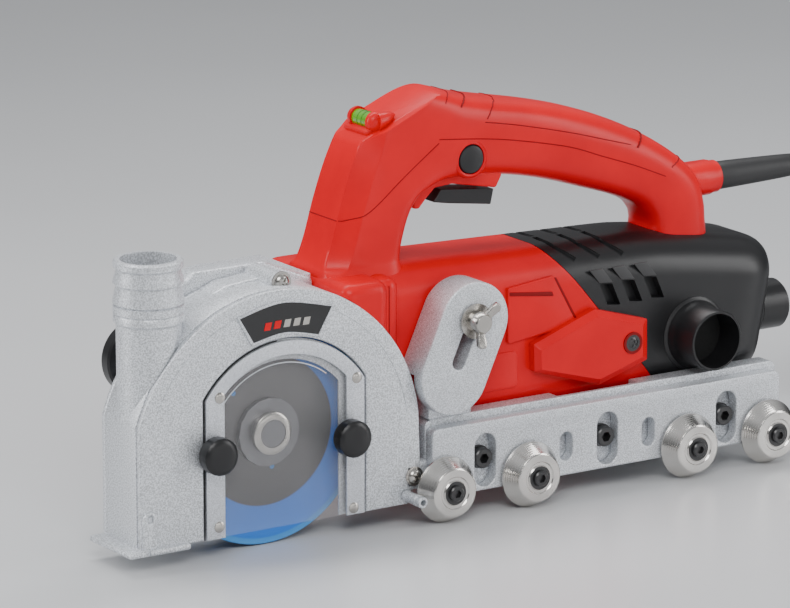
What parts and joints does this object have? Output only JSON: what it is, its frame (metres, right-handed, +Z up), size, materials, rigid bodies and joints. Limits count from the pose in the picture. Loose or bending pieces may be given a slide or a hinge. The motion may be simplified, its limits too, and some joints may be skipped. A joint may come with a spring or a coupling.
{
  "type": "wall chaser",
  "caption": "Electric wall chaser: closed loop handle, motor, diamond blade pack in a windowed guard with a dust port, on a roller base with depth arm.",
  "frame": {"origin": "middle of the machine's box at floor level, measured without its lead: the floor that the rollers stand on is z = 0, y = 0 is the motor's centre plane", "axes": "+X from the blade guard towards the motor's rear bearing boss, +Y away from the near side that carries the window and the wing nut, +Z up"},
  "size_m": [0.7035, 0.19, 0.245],
  "materials": {
    "cast_aluminium": "sand-blasted casting with a fine speckle",
    "base_aluminium": "sand-blasted plate",
    "roller_steel": "turned and polished",
    "nickel_steel": "bright plated steel",
    "blade_steel": "satin steel disc with a blue painted rim band",
    "dark_steel": "dark oxide steel",
    "red_plastic": "satin gloss moulding",
    "black_plastic": "fine satin moulding",
    "carbon": "pressed carbon",
    "clear_pane": "clear polycarbonate sheet",
    "level_liquid": "green filled vial",
    "copper_windings": "copper and laminations",
    "rubber": "matte black rubber"
  },
  "bodies": {
    "chaser": {"guard_body": "cast_aluminium", "guard_cover": "cast_aluminium", "window_pane": "clear_pane", "window_strip_left": "nickel_steel", "window_strip_right": "nickel_steel", "water_nozzle": "cast_aluminium", "gear_case": "cast_aluminium", "motor_housing": "red_plastic", "rear_housing": "black_plastic", "exhaust_pipe": "black_plastic", "brush_cover": "red_plastic", "brush_near": "carbon", "brush_far": "carbon", "stator": "copper_windings", "front_bearing": "nickel_steel", "rear_bearing": "nickel_steel", "spindle_bearing": "nickel_steel", "handle_near": "red_plastic", "handle_far": "red_plastic", "spirit_level": "level_liquid", "switch_box": "black_plastic", "strain_relief": "rubber", "power_cord": "rubber", "cord_coil": "rubber", "power_plug": "rubber"},
    "spindle_set": {"spindle": "dark_steel", "spindle_gear": "nickel_steel", "outer_flange": "dark_steel", "spindle_nut": "dark_steel", "blade_1": "blade_steel", "blade_2": "blade_steel", "blade_3": "blade_steel", "blade_4": "blade_steel", "spacer_1": "dark_steel", "spacer_2": "dark_steel", "spacer_3": "dark_steel"},
    "layshaft_set": {"layshaft": "nickel_steel", "bevel_gear": "nickel_steel"},
    "armature": {"armature_shaft": "nickel_steel", "rotor_core": "dark_steel", "fan": "black_plastic", "commutator": "copper_windings"},
    "base": {"base_frame": "base_aluminium", "pivot_pin": "nickel_steel", "depth_arm": "base_aluminium"},
    "wing_nut": {"wing_nut": "nickel_steel"},
    "near_wheel_plate": {"wheel_plate_near": "base_aluminium"},
    "far_wheel_plate": {"wheel_plate_far": "base_aluminium"},
    "trigger": {"trigger": "black_plastic"},
    "lock_button": {"lock_button": "black_plastic"},
    "left_knob": {"window_knob_left": "black_plastic"},
    "right_knob": {"window_knob_right": "black_plastic"},
    "near_roller_1": {"roller_near_1": "roller_steel"},
    "near_roller_2": {"roller_near_2": "roller_steel"},
    "near_roller_3": {"roller_near_3": "roller_steel"},
    "near_roller_4": {"roller_near_4": "roller_steel"},
    "far_roller_1": {"roller_far_1": "roller_steel"},
    "far_roller_2": {"roller_far_2": "roller_steel"},
    "far_roller_3": {"roller_far_3": "roller_steel"},
    "far_roller_4": {"roller_far_4": "roller_steel"}
  },
  "joints": [
    {"name": "spindle_spin", "type": "hinge", "parent": "chaser", "child": "spindle_set", "pos_m": [-0.1475, 0, 0.0669], "axis": [0, 1, 0], "continuous": true},
    {"name": "layshaft_spin", "type": "hinge", "parent": "chaser", "child": "layshaft_set", "pos_m": [-0.1475, 0, 0.08815], "axis": [0, 1, 0], "continuous": true},
    {"name": "armature_spin", "type": "hinge", "parent": "chaser", "child": "armature", "pos_m": [-0.1475, 0, 0.08815], "axis": [1, 0, 0], "continuous": true},
    {"name": "depth_tilt", "type": "hinge", "parent": "chaser", "child": "base", "pos_m": [0.1165, 0, 0.049], "axis": [0, 1, 0], "range_deg": [0, 8.5]},
    {"name": "near_plate_height", "type": "slide", "parent": "base", "child": "near_wheel_plate", "axis": [0, 0, 1], "range_m": [-0.004, 0.004]},
    {"name": "far_plate_height", "type": "slide", "parent": "base", "child": "far_wheel_plate", "axis": [0, 0, 1], "range_m": [-0.004, 0.004]},
    {"name": "wing_nut_turn", "type": "hinge", "parent": "chaser", "child": "wing_nut", "pos_m": [-0.017, -0.06, 0.117], "axis": [0, 1, 0], "continuous": true},
    {"name": "trigger_pull", "type": "hinge", "parent": "chaser", "child": "trigger", "pos_m": [-0.0095, 0, 0.1795], "axis": [0, -1, 0], "range_deg": [0, 5], "stiffness_Nm_per_rad": 0.8, "springref_deg": -11.46},
    {"name": "lock_button_press", "type": "slide", "parent": "chaser", "child": "lock_button", "axis": [0, 1, 0], "range_m": [0, 0.003], "stiffness_N_per_m": 400, "springref_m": -0.002},
    {"name": "left_knob_turn", "type": "hinge", "parent": "chaser", "child": "left_knob", "pos_m": [-0.1905, -0.06, 0.063], "axis": [0, 1, 0], "continuous": true},
    {"name": "right_knob_turn", "type": "hinge", "parent": "chaser", "child": "right_knob", "pos_m": [-0.1015, -0.06, 0.06], "axis": [0, 1, 0], "continuous": true},
    {"name": "near_roller_1_spin", "type": "hinge", "parent": "near_wheel_plate", "child": "near_roller_1", "pos_m": [-0.037, -0.0645, 0.0195], "axis": [0, 1, 0], "continuous": true},
    {"name": "near_roller_2_spin", "type": "hinge", "parent": "near_wheel_plate", "child": "near_roller_2", "pos_m": [0.022, -0.0645, 0.0195], "axis": [0, 1, 0], "continuous": true},
    {"name": "near_roller_3_spin", "type": "hinge", "parent": "near_wheel_plate", "child": "near_roller_3", "pos_m": [0.136, -0.0645, 0.0195], "axis": [0, 1, 0], "continuous": true},
    {"name": "near_roller_4_spin", "type": "hinge", "parent": "near_wheel_plate", "child": "near_roller_4", "pos_m": [0.195, -0.0645, 0.0195], "axis": [0, 1, 0], "continuous": true},
    {"name": "far_roller_1_spin", "type": "hinge", "parent": "far_wheel_plate", "child": "far_roller_1", "pos_m": [-0.037, 0.0645, 0.0195], "axis": [0, 1, 0], "continuous": true},
    {"name": "far_roller_2_spin", "type": "hinge", "parent": "far_wheel_plate", "child": "far_roller_2", "pos_m": [0.022, 0.0645, 0.0195], "axis": [0, 1, 0], "continuous": true},
    {"name": "far_roller_3_spin", "type": "hinge", "parent": "far_wheel_plate", "child": "far_roller_3", "pos_m": [0.136, 0.0645, 0.0195], "axis": [0, 1, 0], "continuous": true},
    {"name": "far_roller_4_spin", "type": "hinge", "parent": "far_wheel_plate", "child": "far_roller_4", "pos_m": [0.195, 0.0645, 0.0195], "axis": [0, 1, 0], "continuous": true}
  ],
  "couplings": [
    {"joint": "layshaft_spin", "follows": "spindle_spin", "ratio": -1.8333},
    {"joint": "armature_spin", "follows": "spindle_spin", "ratio": 5.5}
  ]
}
